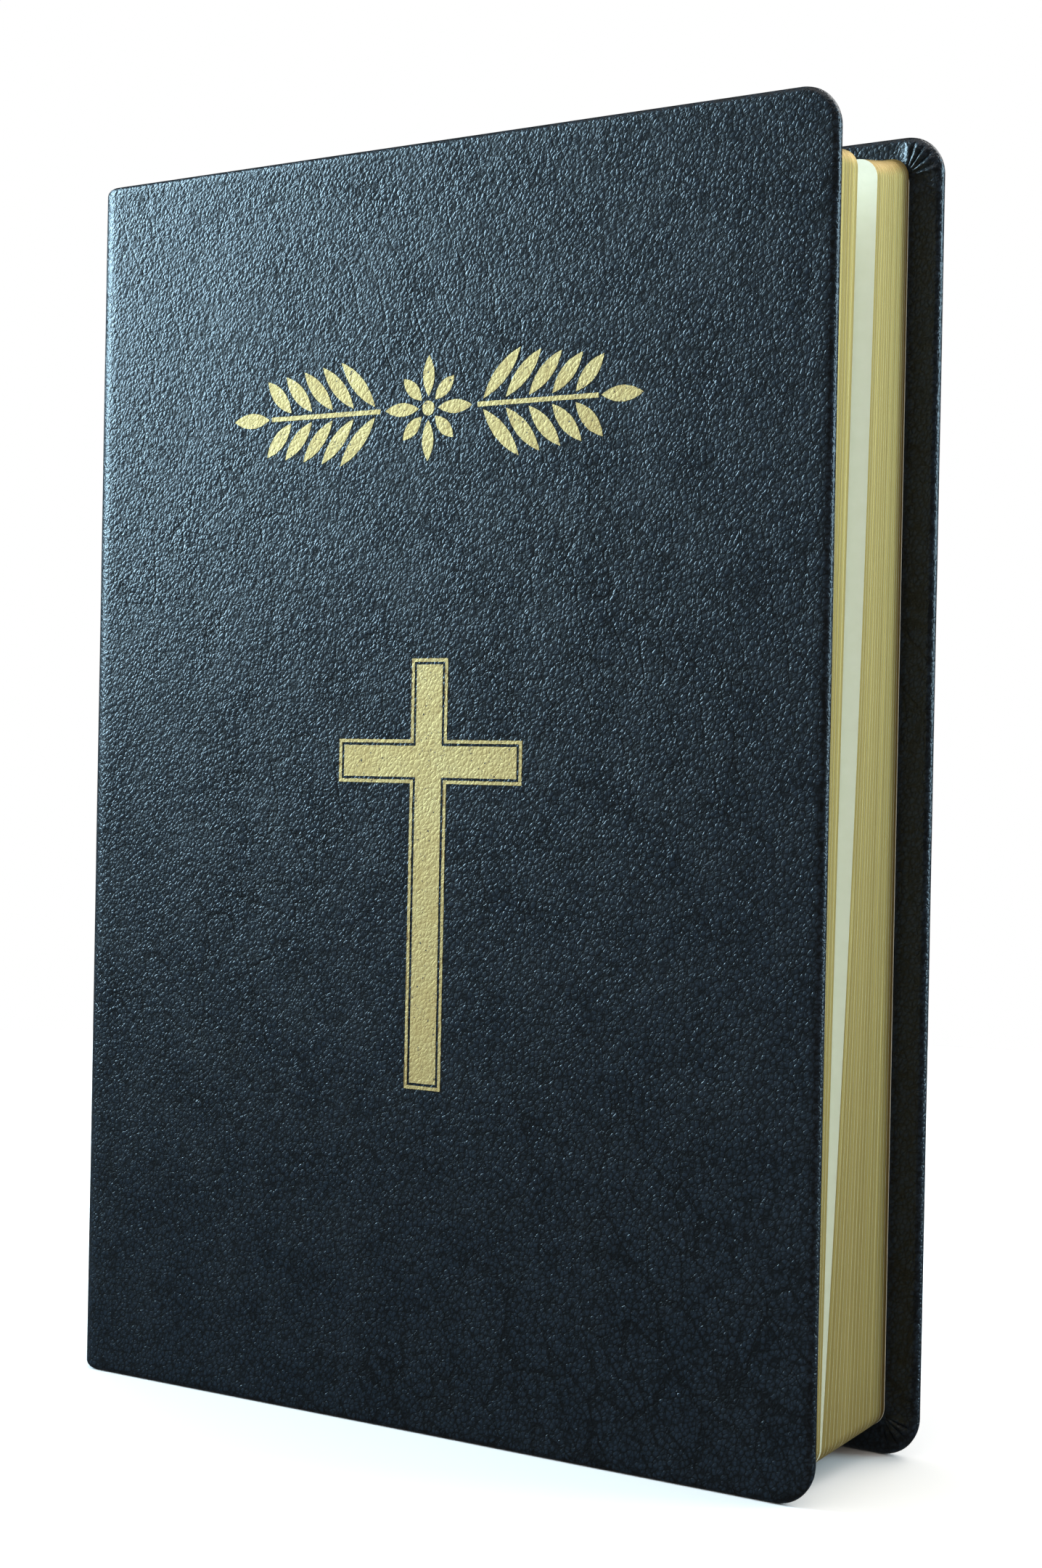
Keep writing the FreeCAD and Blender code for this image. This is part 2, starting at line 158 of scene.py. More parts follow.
def addNode(tree, kind, inputs=None, output=0, **settings):
    # adds a node, sets or links its inputs, and gives back one of its outputs
    node = tree.nodes.new(kind)
    for key, value in settings.items():
        setattr(node, key, value)
    for key, value in (inputs or {}).items():
        if isinstance(value, bpy.types.NodeSocket):
            tree.links.new(value, node.inputs[key])
        else:
            node.inputs[key].default_value = value
    return node.outputs[output]


def startMaterial(name, **values):
    material = bpy.data.materials.new(name)
    material.use_nodes = True
    tree = material.node_tree
    shader = tree.nodes["Principled BSDF"]
    for key, value in values.items():
        shader.inputs[key.replace("_", " ")].default_value = value
    return material, tree, shader


grain = {
    "pebble": 0.66 * mm,      # width of one pebble
    "stretch": 1.4,           # pebbles are longer along the diagonal
    "lean": 38,               # degrees from upright towards the fore-edge
    "hollow": 0.24,           # width of the hollow round a pebble, as a share of the pebble
    "drift": 1.7 * mm,        # spacing of the shifts that keep the pebbles irregular
    "shift": 0.9 * mm,
    "wrinkle": 1.4 * mm,      # spacing of the small wrinkles that run over several pebbles
    "crease": 5.0 * mm,       # spacing of the longer creases, which lean the other way
    "creaseLean": -32,
    "creaseStretch": 2.6,
    "patch": 50 * mm,         # size of the areas where the creases show more or less
    "swell": 2.3 * mm,        # spacing of the soft lumps under the pebbles
    "height": 0.08 * mm,
}


def grainHeight(tree):
    # height of the embossed grain, shared by leather and foil: pebbles, wrinkles and long creases
    place = addNode(tree, "ShaderNodeTexCoord", output="Object")
    drift = addNode(tree, "ShaderNodeTexNoise", {"Vector": place, "Scale": 1 / grain["drift"], "Detail": 3.0},
                    output="Color")
    push = addNode(tree, "ShaderNodeVectorMath", {0: drift, 1: (0.5, 0.5, 0.5)}, operation="SUBTRACT")
    push = addNode(tree, "ShaderNodeVectorMath", {0: push, "Scale": grain["shift"]}, operation="SCALE")
    moved = addNode(tree, "ShaderNodeVectorMath", {0: place, 1: push}, operation="ADD")
    turned = addNode(tree, "ShaderNodeMapping",
                     {"Vector": moved, "Rotation": (0, math.radians(grain["lean"]), 0),
                      "Scale": (1, 1, grain["stretch"])}, vector_type="TEXTURE")
    across = addNode(tree, "ShaderNodeMapping",
                     {"Vector": moved, "Rotation": (0, math.radians(grain["creaseLean"]), 0),
                      "Scale": (1, 1, grain["creaseStretch"])}, vector_type="TEXTURE")
    middle = addNode(tree, "ShaderNodeTexVoronoi",
                     {"Vector": turned, "Scale": 1 / grain["pebble"], "Smoothness": 0.4},
                     output="Distance", feature="SMOOTH_F1")
    dome = addNode(tree, "ShaderNodeMapRange",
                   {"Value": middle, "From Min": 0.0, "From Max": 0.75, "To Min": 1.0, "To Max": 0.0})
    rim = addNode(tree, "ShaderNodeTexVoronoi", {"Vector": turned, "Scale": 1 / grain["pebble"]},
                  output="Distance", feature="DISTANCE_TO_EDGE")
    hollow = addNode(tree, "ShaderNodeMapRange", {"Value": rim, "From Min": 0.0, "From Max": grain["hollow"]},
                     interpolation_type="SMOOTHSTEP")
    # wrinkles lie where a soft noise crosses its middle value
    ridged = addNode(tree, "ShaderNodeTexNoise",
                     {"Vector": turned, "Scale": 1 / grain["wrinkle"], "Detail": 3.0, "Roughness": 0.6},
                     output="Fac")
    ridged = addNode(tree, "ShaderNodeMath", {0: ridged, 1: 0.5}, operation="SUBTRACT")
    ridged = addNode(tree, "ShaderNodeMath", {0: ridged}, operation="ABSOLUTE")
    wrinkle = addNode(tree, "ShaderNodeMapRange", {"Value": ridged, "From Min": 0.0, "From Max": 0.07})
    net = addNode(tree, "ShaderNodeTexVoronoi", {"Vector": across, "Scale": 1 / grain["crease"]},
                  output="Distance", feature="DISTANCE_TO_EDGE")
    crease = addNode(tree, "ShaderNodeMapRange",
                     {"Value": net, "From Min": 0.0, "From Max": 0.05, "To Min": -1.0, "To Max": 0.0})
    worn = addNode(tree, "ShaderNodeTexNoise", {"Vector": place, "Scale": 1 / grain["patch"], "Detail": 1.0},
                   output="Fac")
    worn = addNode(tree, "ShaderNodeMapRange", {"Value": worn, "From Min": 0.42, "From Max": 0.6})
    crease = addNode(tree, "ShaderNodeMath", {0: crease, 1: worn}, operation="MULTIPLY")
    swell = addNode(tree, "ShaderNodeTexNoise", {"Vector": turned, "Scale": 1 / grain["swell"], "Detail": 2.0},
                    output="Fac")
    total = addNode(tree, "ShaderNodeMath", {0: dome, 1: 0.48}, operation="MULTIPLY")
    for part, share in ((hollow, 0.27), (wrinkle, 0.22), (crease, 0.45), (swell, 0.36)):
        total = addNode(tree, "ShaderNodeMath", {0: part, 1: share, 2: total}, operation="MULTIPLY_ADD")
    return total, place


def makeLeather():
    # bonded leather with an embossed goat grain and a thin satin finish: near black with a blue cast,
    # a broken sheen on the tops of the pebbles, partly painted highlight, and painted shade in the hollows
    # between them
    material, tree, shader = startMaterial("blackGoatGrainLeather", IOR=1.5, Specular_IOR_Level=0.5)
    height, place = grainHeight(tree)
    patches = addNode(tree, "ShaderNodeTexNoise", {"Vector": place, "Scale": 1 / (9 * mm), "Detail": 3.0},
                      output="Fac")
    # painted highlight and painted shade: the base colour is lighter on the tops of the grain and darker in
    # its hollows and creases
    top = addNode(tree, "ShaderNodeMapRange", {"Value": height, "From Min": 0.4, "From Max": 1.0})
    colour = addNode(tree, "ShaderNodeMix", {0: top, 6: hexColour("070b0e"), 7: hexColour("131d26")},
                     output=2, data_type="RGBA")
    tree.links.new(colour, shader.inputs["Base Color"])
    rough = addNode(tree, "ShaderNodeMapRange",
                    {"Value": patches, "From Min": 0.3, "From Max": 0.7, "To Min": 0.28, "To Max": 0.36})
    tree.links.new(rough, shader.inputs["Roughness"])
    bump = addNode(tree, "ShaderNodeBump", {"Height": height, "Strength": 1.0, "Distance": grain["height"]})
    tree.links.new(bump, shader.inputs["Normal"])
    return material


def makeFoil():
    # hot-stamped foil: a film of pale gold metal that takes the grain under it and misses its pores
    material, tree, shader = startMaterial("paleGoldStampingFoil")
    height, place = grainHeight(tree)
    speck = addNode(tree, "ShaderNodeTexNoise", {"Vector": place, "Scale": 1 / (0.45 * mm), "Detail": 4.0},
                    output="Fac")
    bare = addNode(tree, "ShaderNodeMapRange",
                   {"Value": speck, "From Min": 0.30, "From Max": 0.37, "To Min": 1.0, "To Max": 0.0})
    cloud = addNode(tree, "ShaderNodeTexNoise", {"Vector": place, "Scale": 1 / (5 * mm), "Detail": 2.0},
                    output="Fac")
    gold = addNode(tree, "ShaderNodeMix", {0: cloud, 6: hexColour("d2ba80"), 7: hexColour("bb9f66")},
                   output=2, data_type="RGBA")
    colour = addNode(tree, "ShaderNodeMix", {0: bare, 6: gold, 7: hexColour("14130f")},
                     output=2, data_type="RGBA")
    tree.links.new(colour, shader.inputs["Base Color"])
    shine = addNode(tree, "ShaderNodeMapRange", {"Value": bare, "To Min": 0.75, "To Max": 0.0})
    tree.links.new(shine, shader.inputs["Metallic"])
    rough = addNode(tree, "ShaderNodeMapRange",
                    {"Value": cloud, "From Min": 0.3, "From Max": 0.7, "To Min": 0.54, "To Max": 0.64})
    tree.links.new(rough, shader.inputs["Roughness"])
    bump = addNode(tree, "ShaderNodeBump", {"Height": height, "Strength": 0.7, "Distance": grain["height"]})
    tree.links.new(bump, shader.inputs["Normal"])
    return material


def makePaper(name, light, dark, fibre=0.35 * mm):
    # uncoated paper or board: matt, with a faint cloudy formation of fibres
    material, tree, shader = startMaterial(name, Roughness=0.78, IOR=1.45, Specular_IOR_Level=0.35)
    place = addNode(tree, "ShaderNodeTexCoord", output="Object")
    cloud = addNode(tree, "ShaderNodeTexNoise", {"Vector": place, "Scale": 1 / (2.2 * mm), "Detail": 5.0},
                    output="Fac")
    colour = addNode(tree, "ShaderNodeMix", {0: cloud, 6: hexColour(light), 7: hexColour(dark)},
                     output=2, data_type="RGBA")
    tree.links.new(colour, shader.inputs["Base Color"])
    fibres = addNode(tree, "ShaderNodeTexNoise", {"Vector": place, "Scale": 1 / fibre, "Detail": 3.0},
                     output="Fac")
    bump = addNode(tree, "ShaderNodeBump", {"Height": fibres, "Strength": 0.25, "Distance": 0.02 * mm})
    tree.links.new(bump, shader.inputs["Normal"])
    return material


def makeGilt():
    # gilded page edges: metal leaf burnished on hundreds of thin sheets, so it is matt across the
    # sheets and streaked along them; single leaves are finer than can be seen, and show as bundles
    material, tree, shader = startMaterial("burnishedGiltPageEdge", Metallic=0.8)
    edge = addNode(tree, "ShaderNodeUVMap", uv_map="leaves")
    lines = 0.0
    for spacing, length, share in ((0.16 * mm, 45 * mm, 0.3), (0.5 * mm, 200 * mm, 0.35),
                                   (2.4 * mm, 500 * mm, 0.35)):
        stretched = addNode(tree, "ShaderNodeMapping", {"Vector": edge, "Scale": (1 / spacing, 1 / length, 1)})
        streak = addNode(tree, "ShaderNodeTexNoise", {"Vector": stretched, "Scale": 1.0, "Detail": 2.0},
                         output="Fac")
        lines = addNode(tree, "ShaderNodeMath", {0: streak, 1: share, 2: lines}, operation="MULTIPLY_ADD")
    shade = addNode(tree, "ShaderNodeMapRange", {"Value": lines, "From Min": 0.35, "From Max": 0.65})
    colour = addNode(tree, "ShaderNodeMix", {0: shade, 6: hexColour("967c40"), 7: hexColour("b49858")},
                     output=2, data_type="RGBA")
    tree.links.new(colour, shader.inputs["Base Color"])
    rough = addNode(tree, "ShaderNodeMapRange",
                    {"Value": lines, "From Min": 0.35, "From Max": 0.65, "To Min": 0.56, "To Max": 0.48})
    tree.links.new(rough, shader.inputs["Roughness"])
    bump = addNode(tree, "ShaderNodeBump", {"Height": lines, "Strength": 0.5, "Distance": 0.025 * mm})
    tree.links.new(bump, shader.inputs["Normal"])
    return material


def makeWoven(name, warp, weft, thread):
    # plain-woven thread: over and under in turn, matt with a soft sheen
    material, tree, shader = startMaterial(name, Roughness=0.85, Sheen_Weight=0.2)
    place = addNode(tree, "ShaderNodeTexCoord", output="Object")
    waves = [addNode(tree, "ShaderNodeTexWave",
                     {"Vector": place, "Scale": 1 / (thread * 6.28), "Distortion": 0.6},
                     output="Fac", bands_direction=direction) for direction in ("Y", "Z")]
    weave = addNode(tree, "ShaderNodeMath", {0: waves[0], 1: waves[1]}, operation="MULTIPLY")
    colour = addNode(tree, "ShaderNodeMix", {0: weave, 6: hexColour(warp), 7: hexColour(weft)},
                     output=2, data_type="RGBA")
    tree.links.new(colour, shader.inputs["Base Color"])
    bump = addNode(tree, "ShaderNodeBump", {"Height": weave, "Strength": 0.7, "Distance": thread * 0.3})
    tree.links.new(bump, shader.inputs["Normal"])
    return material


leather = makeLeather()
foil = makeFoil()
bookPaper = makePaper("thinBookPaper", "dcdccb", "d2d3bd")
endPaper = makePaper("creamEndpaper", "bfb9a6", "b2ac98")
greyBoard = makePaper("greyFlexibleBoard", "8d877b", "6f6a60", 0.6 * mm)
kraft = makePaper("brownKraftPaper", "a98a62", "8d7049")
gilt = makeGilt()
gauze = makeWoven("starchedGauze", "cfc8b4", "f2eddd", 0.5 * mm)
silk = makeWoven("woundSilkThread", "b59a54", "f1ead2", 0.35 * mm)
linen = makeWoven("waxedLinenThread", "cbbf9f", "efe7d2", 0.25 * mm)
print("materials made")


# the leather case

case = {
    "cell": 1.5 * mm,          # spacing of the mesh on the broad faces
    "skin": 0.42 * mm,         # wall of the pared leather
    "corner": 6.5 * mm,        # rounding of the fore-edge corners
    "tightest": 0.7 * mm,      # where a turned-in corner runs to a point
    "pleats": 5,
    "pleatRise": 0.6 * mm,
    "wave": 0.16 * mm,         # how far the broad faces are from flat
    "foldSteps": 8,
    "turnedIn": 12.9 * mm,     # leather past the fold, on the inside
    "capDip": 0.9 * mm,        # the head and tail run a little lower over the spine
    "capReach": 30 * mm,       # the dip runs out over this length of the spine
}


def faceWave(x, z):
    # long, soft unevenness of the glued leather
    long = noise.noise(Vector((x / (42 * mm), 3.7, z / (36 * mm))))
    short = noise.noise(Vector((x / (13 * mm), 9.1, z / (15 * mm))))
    return case["wave"] * (0.7 * long + 0.3 * short)


def wrapPoint(side, s, depth, z):
    # s runs over the leather from the hinge line, round the spine's edge and across the cover
    radius = spineRound
    if s < arcLength:
        angle = s / radius
        x = radius - (radius - depth) * math.cos(angle)
        y = radius - (radius - depth) * math.sin(angle)
    else:
        x = radius + s - arcLength
        y = depth
    return Vector((spineX + x, outerY[side] + inward[side] * y, z))


def capDip(s, z):
    # the covers' head and tail edges round off into the spine
    share = max(0, 1 - s / arcLength) ** 2
    ends = max(0, abs(z - bookHeight / 2) - bookHeight / 2 + case["capReach"]) / case["capReach"]
    return math.copysign(case["capDip"] * share * min(1, ends), bookHeight / 2 - z)


def edgeUses(piece):
    # how many faces meet at each edge
    uses = {}
    for polygon in piece.data.polygons:
        for key in polygon.edge_keys:
            uses[key] = uses.get(key, 0) + 1
    return uses


def selectBorder(piece, wanted):
    # the free edges whose middle passes the test
    uses = edgeUses(piece)
    vertices = piece.data.vertices
    for item in list(piece.data.vertices) + list(piece.data.polygons):
        item.select = False
    for edge in piece.data.edges:
        key = tuple(sorted(edge.vertices))
        middle = (vertices[key[0]].co + vertices[key[1]].co) / 2
        edge.select = uses.get(key, 0) == 1 and wanted(middle)
        if edge.select:
            vertices[key[0]].select = True
            vertices[key[1]].select = True


def extrudeRings(piece, rings, outward):
    # the selected border grows ring by ring, still flat, as the leather is cut
    done = 0
    for reach in rings:
        bpy.ops.object.mode_set(mode="EDIT")
        bpy.ops.mesh.select_mode(type="EDGE")
        bpy.ops.mesh.extrude_edges_move(TRANSFORM_OT_translate={"value": (0, 0, 0)})
        bpy.ops.object.mode_set(mode="OBJECT")
        for vertex in piece.data.vertices:
            if vertex.select:
                vertex.co += outward(vertex.co) * (reach - done)
        done = reach


def foldOver(t, radius):
    # t is how far past the flat part the leather has gone: round the edge, then back inside
    if t <= math.pi * radius:
        return radius * math.sin(t / radius), radius * (1 - math.cos(t / radius))
    return -(t - math.pi * radius), 2 * radius


def makeCoverLeather(side):
    edge = coverWall / 2
    flatEnd = foreX[side] - spineX - spineRound + arcLength - edge
    bottom, top = edge, bookHeight - edge
    radius = case["corner"] - edge
    centreS = flatEnd - radius
    centres = {-1: bottom + radius, 1: top - radius}
    columns = evenly(0, arcLength, 10)[:-1]
    columns += evenly(arcLength, centreS, round((centreS - arcLength) / case["cell"]))[:-1]
    columns += evenly(centreS, flatEnd, 6)
    rows = evenly(bottom, centres[-1], 6)[:-1]
    rows += evenly(centres[-1], centres[1], round((centres[1] - centres[-1]) / case["cell"]))[:-1]
    rows += evenly(centres[1], top, 6)
    piece = addGrid(side + "LeatherCover", columns, rows)
    for vertex in piece.data.vertices:
        for sign in (-1, 1):
            vertex.co.xy = roundCorner(vertex.co.x, vertex.co.y, centreS, centres[sign], radius, 1, sign)

    def inCorner(point):
        sign = 1 if point.y > bookHeight / 2 else -1
        past = (point.y - centres[sign]) * sign
        return point.x > centreS + 1e-6 and past > 1e-6, sign

    # the rounded corners get a finer border, for the pleats
    selectBorder(piece, lambda point: inCorner(point)[0])
    bpy.ops.object.mode_set(mode="EDIT")
    bpy.ops.mesh.select_mode(type="EDGE")
    bpy.ops.mesh.subdivide(number_cuts=7)
    bpy.ops.object.mode_set(mode="OBJECT")
    for vertex in piece.data.vertices:
        if vertex.select:
            isCorner, sign = inCorner(vertex.co)
            if isCorner:
                centre = Vector((centreS, centres[sign], 0))
                vertex.co = centre + (vertex.co - centre).normalized() * radius

    def outward(point):
        isCorner, sign = inCorner(point)
        if isCorner:
            return (point - Vector((centreS, centres[sign], 0))).normalized()
        if point.x > flatEnd - 1e-6:
            return Vector((1, 0, 0))
        return Vector((0, 1 if point.y > bookHeight / 2 else -1, 0))

    # fine rings where the corners are pleated, coarse ones further in
    rings = evenly(0, math.pi * edge, case["foldSteps"])[1:]
    rings += [math.pi * edge + x * mm for x in (0.7, 1.5, 2.3, 3.1, 3.9, 4.7, 5.6, 7.5, 10.0)]
    rings.append(math.pi * edge + case["turnedIn"])
    selectBorder(piece, lambda point: point.x > 1e-5)
    extrudeRings(piece, rings, outward)

    # then folded and wrapped
    for vertex in piece.data.vertices:
        s, z = vertex.co.x, vertex.co.y
        isCorner, sign = inCorner(vertex.co)
        local = mix(spineWall / 2, edge, min(1, s / arcLength))
        rise = 0.0
        depth = 0.0
        if isCorner:
            offset = vertex.co.xy - Vector((centreS, centres[sign]))
            t = offset.length - radius
            if t > 1e-7:
                along, depth = foldOver(t, edge)
                direction = offset.normalized()
                reach = radius + along
                inset = max(0, case["tightest"] - reach)
                reach = max(reach, case["tightest"])
                s = centreS - inset + direction.x * reach
                z = centres[sign] - sign * inset + direction.y * reach
                angle = math.atan2(abs(direction.y), direction.x)
                # unevenly spaced crests that die out at the fold, at the point and at both straight edges
                fold = case["pleats"] * angle / (math.pi / 2)
                fold += 0.35 * noise.noise(Vector((angle * 3, sign * 2, 1)))
                crest = abs(math.sin(math.pi * fold)) ** 0.9
                crest *= 0.75 + 0.4 * noise.noise(Vector((angle * 5, sign, 4)))
                crest *= abs(math.sin(2 * angle)) ** 0.4
                inside = clamp((t - 2.6 * edge) / (1.3 * mm))
                fade = clamp((reach - 1.2 * mm) / (2.4 * mm))
                rise = case["pleatRise"] * crest * inside * fade
        elif s > flatEnd + 1e-7:
            along, depth = foldOver(s - flatEnd, edge)
            s = flatEnd + along
        elif z > top + 1e-7:
            along, depth = foldOver(z - top, local)
            z = top + along
        elif z < bottom - 1e-7:
            along, depth = foldOver(bottom - z, local)
            z = bottom - along
        wave = faceWave(spineX + s, z) * min(1, s / (9 * mm))
        share = 1 - min(1, depth / coverWall)
        vertex.co = wrapPoint(side, s, depth + rise - wave * share, z + capDip(s, z))
    if side == "back":
        flipNormals(piece)
    applyModifier(piece, "SOLIDIFY", thickness=case["skin"], offset=-1)
    smooth(piece)
    piece.data.materials.append(leather)
    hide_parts(side + "_leather")
    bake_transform(piece)
    print(piece.name, len(piece.data.polygons), "faces")


def makeSpineLeather():
    edge = spineWall / 2
    bottom, top = coverWall / 2, bookHeight - coverWall / 2
    columns = evenly(spineLow.y, spineHigh.y, 20)
    rows = evenly(bottom, top, 140)
    piece = addGrid("spineLeather", columns, rows)
    selectBorder(piece, lambda point: point.y < bottom + 1e-6 or point.y > top - 1e-6)
    rings = evenly(0, math.pi * edge, case["foldSteps"])[1:] + [math.pi * edge + case["turnedIn"]]
    extrudeRings(piece, rings, lambda point: Vector((0, 1 if point.y > bookHeight / 2 else -1, 0)))
    for vertex in piece.data.vertices:
        y, z = vertex.co.x, vertex.co.y
        depth = 0.0
        if z > top + 1e-7:
            along, depth = foldOver(z - top, edge)
            z = top + along
        elif z < bottom - 1e-7:
            along, depth = foldOver(bottom - z, edge)
            z = bottom - along
        middle = 1 - (2 * y / (spineHigh.y - spineLow.y)) ** 2
        wave = faceWave(y, z) * middle * (1 - min(1, depth / spineWall))
        vertex.co = (spineX + depth - wave, y, z + capDip(0, z))
    flipNormals(piece)
    applyModifier(piece, "SOLIDIFY", thickness=case["skin"], offset=-1)
    smooth(piece)
    piece.data.materials.append(leather)
    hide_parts("spine_leather")
    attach(piece, "spine")
    print(piece.name, len(piece.data.polygons), "faces")


makeCoverLeather("front")
makeCoverLeather("back")
makeSpineLeather()


# endpapers: one half is glued inside the cover and runs over the joint to the first fold

endpaper = {"wall": 0.12 * mm, "corner": 3.2 * mm}


def makePastedown(side):
    low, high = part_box(side + "_pastedown")
    radius = endpaper["corner"]
    columns = evenly(foldX, low.x, 8)[:-1] + evenly(low.x, high.x - radius, 30)[:-1]
    columns += evenly(high.x - radius, high.x, 4)
    rows = evenly(low.z, low.z + radius, 4)[:-1] + evenly(low.z + radius, high.z - radius, 40)[:-1]
    rows += evenly(high.z - radius, high.z, 4)
    piece = addGrid(side + "Pastedown", columns, rows)
    level = outerY[side] + inward[side] * (coverWall + 0.02 * mm)
    for vertex in piece.data.vertices:
        x, z = vertex.co.x, vertex.co.y
        for sign, centre in ((-1, low.z + radius), (1, high.z - radius)):
            x, z = roundCorner(x, z, high.x - radius, centre, radius, 1, sign)
        vertex.co = (x, level, z)
    if side == "front":
        flipNormals(piece)
    applyModifier(piece, "SOLIDIFY", thickness=endpaper["wall"], offset=1)
    smooth(piece)
    piece.data.materials.append(endPaper)
    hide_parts(side + "_pastedown")
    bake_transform(piece)


makePastedown("front")
makePastedown("back")
print("endpapers made")


# the sections: one slab of leaves is modelled, and each section is a copy bent to its own place

leaves = {
    "bundles": 8,              # visible bundles of leaves in one section
    "corner": 3.2 * mm,
    "relief": 0.02 * mm,       # how unevenly the bundles end at the fore-edge
    "groove": 0.016 * mm,      # dip between two bundles
    "grooveShare": 0.12,       # part of a bundle that its groove takes up
    "fold": 0.17 * mm,         # rounding of a section's fold
    "ease": 8 * mm,            # a section fills out from its fold over this length
    "air": 0.05 * mm,          # between two sections
    "bow": 1.9 * mm,           # the parted leaves stand back a little more at half height
    "headDroop": 3.9 * mm,     # the foremost leaves hang lower at the fore-edge than the last ones
    "tailDroop": 2.4 * mm,
    "partedAfter": 11,         # the leaves part behind this section
    "count": 28,
}


def makeLeafSlab():
    # a slab in the XZ plane, 1 thick, with two rings of vertices for each bundle of leaves
    radius = leaves["corner"]
    columns = [0, leaves["fold"], 2 * mm, 4 * mm, 6 * mm, leaves["ease"]]
    columns += evenly(leaves["ease"], pageWidth - radius, 12)[1:-1] + evenly(pageWidth - radius, pageWidth, 4)
    rows = evenly(0, radius, 4)[:-1] + evenly(radius, pageHeight - radius, 24)[:-1]
    rows += evenly(pageHeight - radius, pageHeight, 4)
    slab = addGrid("leafSlab", columns, rows)
    for vertex in slab.data.vertices:
        x, z = vertex.co.x, vertex.co.y
        for sign, centre in ((-1, radius), (1, pageHeight - radius)):
            x, z = roundCorner(x, z, pageWidth - radius, centre, radius, 1, sign)
        vertex.co = (x, 0, z)
    activate(slab)
    bpy.ops.object.mode_set(mode="EDIT")
    bpy.ops.mesh.select_mode(type="FACE")
    bpy.ops.mesh.select_all(action="SELECT")
    steps = [1 - leaves["grooveShare"], leaves["grooveShare"]] * (leaves["bundles"] - 1) + [1.0]
    for step in steps:
        rise = (0, step / leaves["bundles"], 0)
        bpy.ops.mesh.extrude_region_move(TRANSFORM_OT_translate={"value": rise})
    bpy.ops.mesh.select_all(action="SELECT")
    bpy.ops.mesh.remove_doubles(threshold=1e-7)
    bpy.ops.mesh.normals_make_consistent(inside=False)
    bpy.ops.object.mode_set(mode="OBJECT")
    return slab


def sectionPlaces(node):
    # reads from the CAD section where its fold is and where its two outer leaves end at the fore-edge
    points = [v.co.copy() for v in frame["nodes"][node].data.vertices]
    back = min(p.x for p in points)
    foreEdge = max(p.x for p in points)
    fold = [p.y for p in points if p.x < back + 1e-5]
    atFore = [p for p in points if p.x > foreEdge - 1e-6]
    places = {"foldX": back, "foldY": sum(fold) / len(fold)}
    for end, z in (("tail", min(p.z for p in atFore)), ("head", max(p.z for p in atFore))):
        ys = [p.y for p in atFore if abs(p.z - z) < 0.2 * mm]
        places[end] = (z, min(ys), max(ys))
    return places


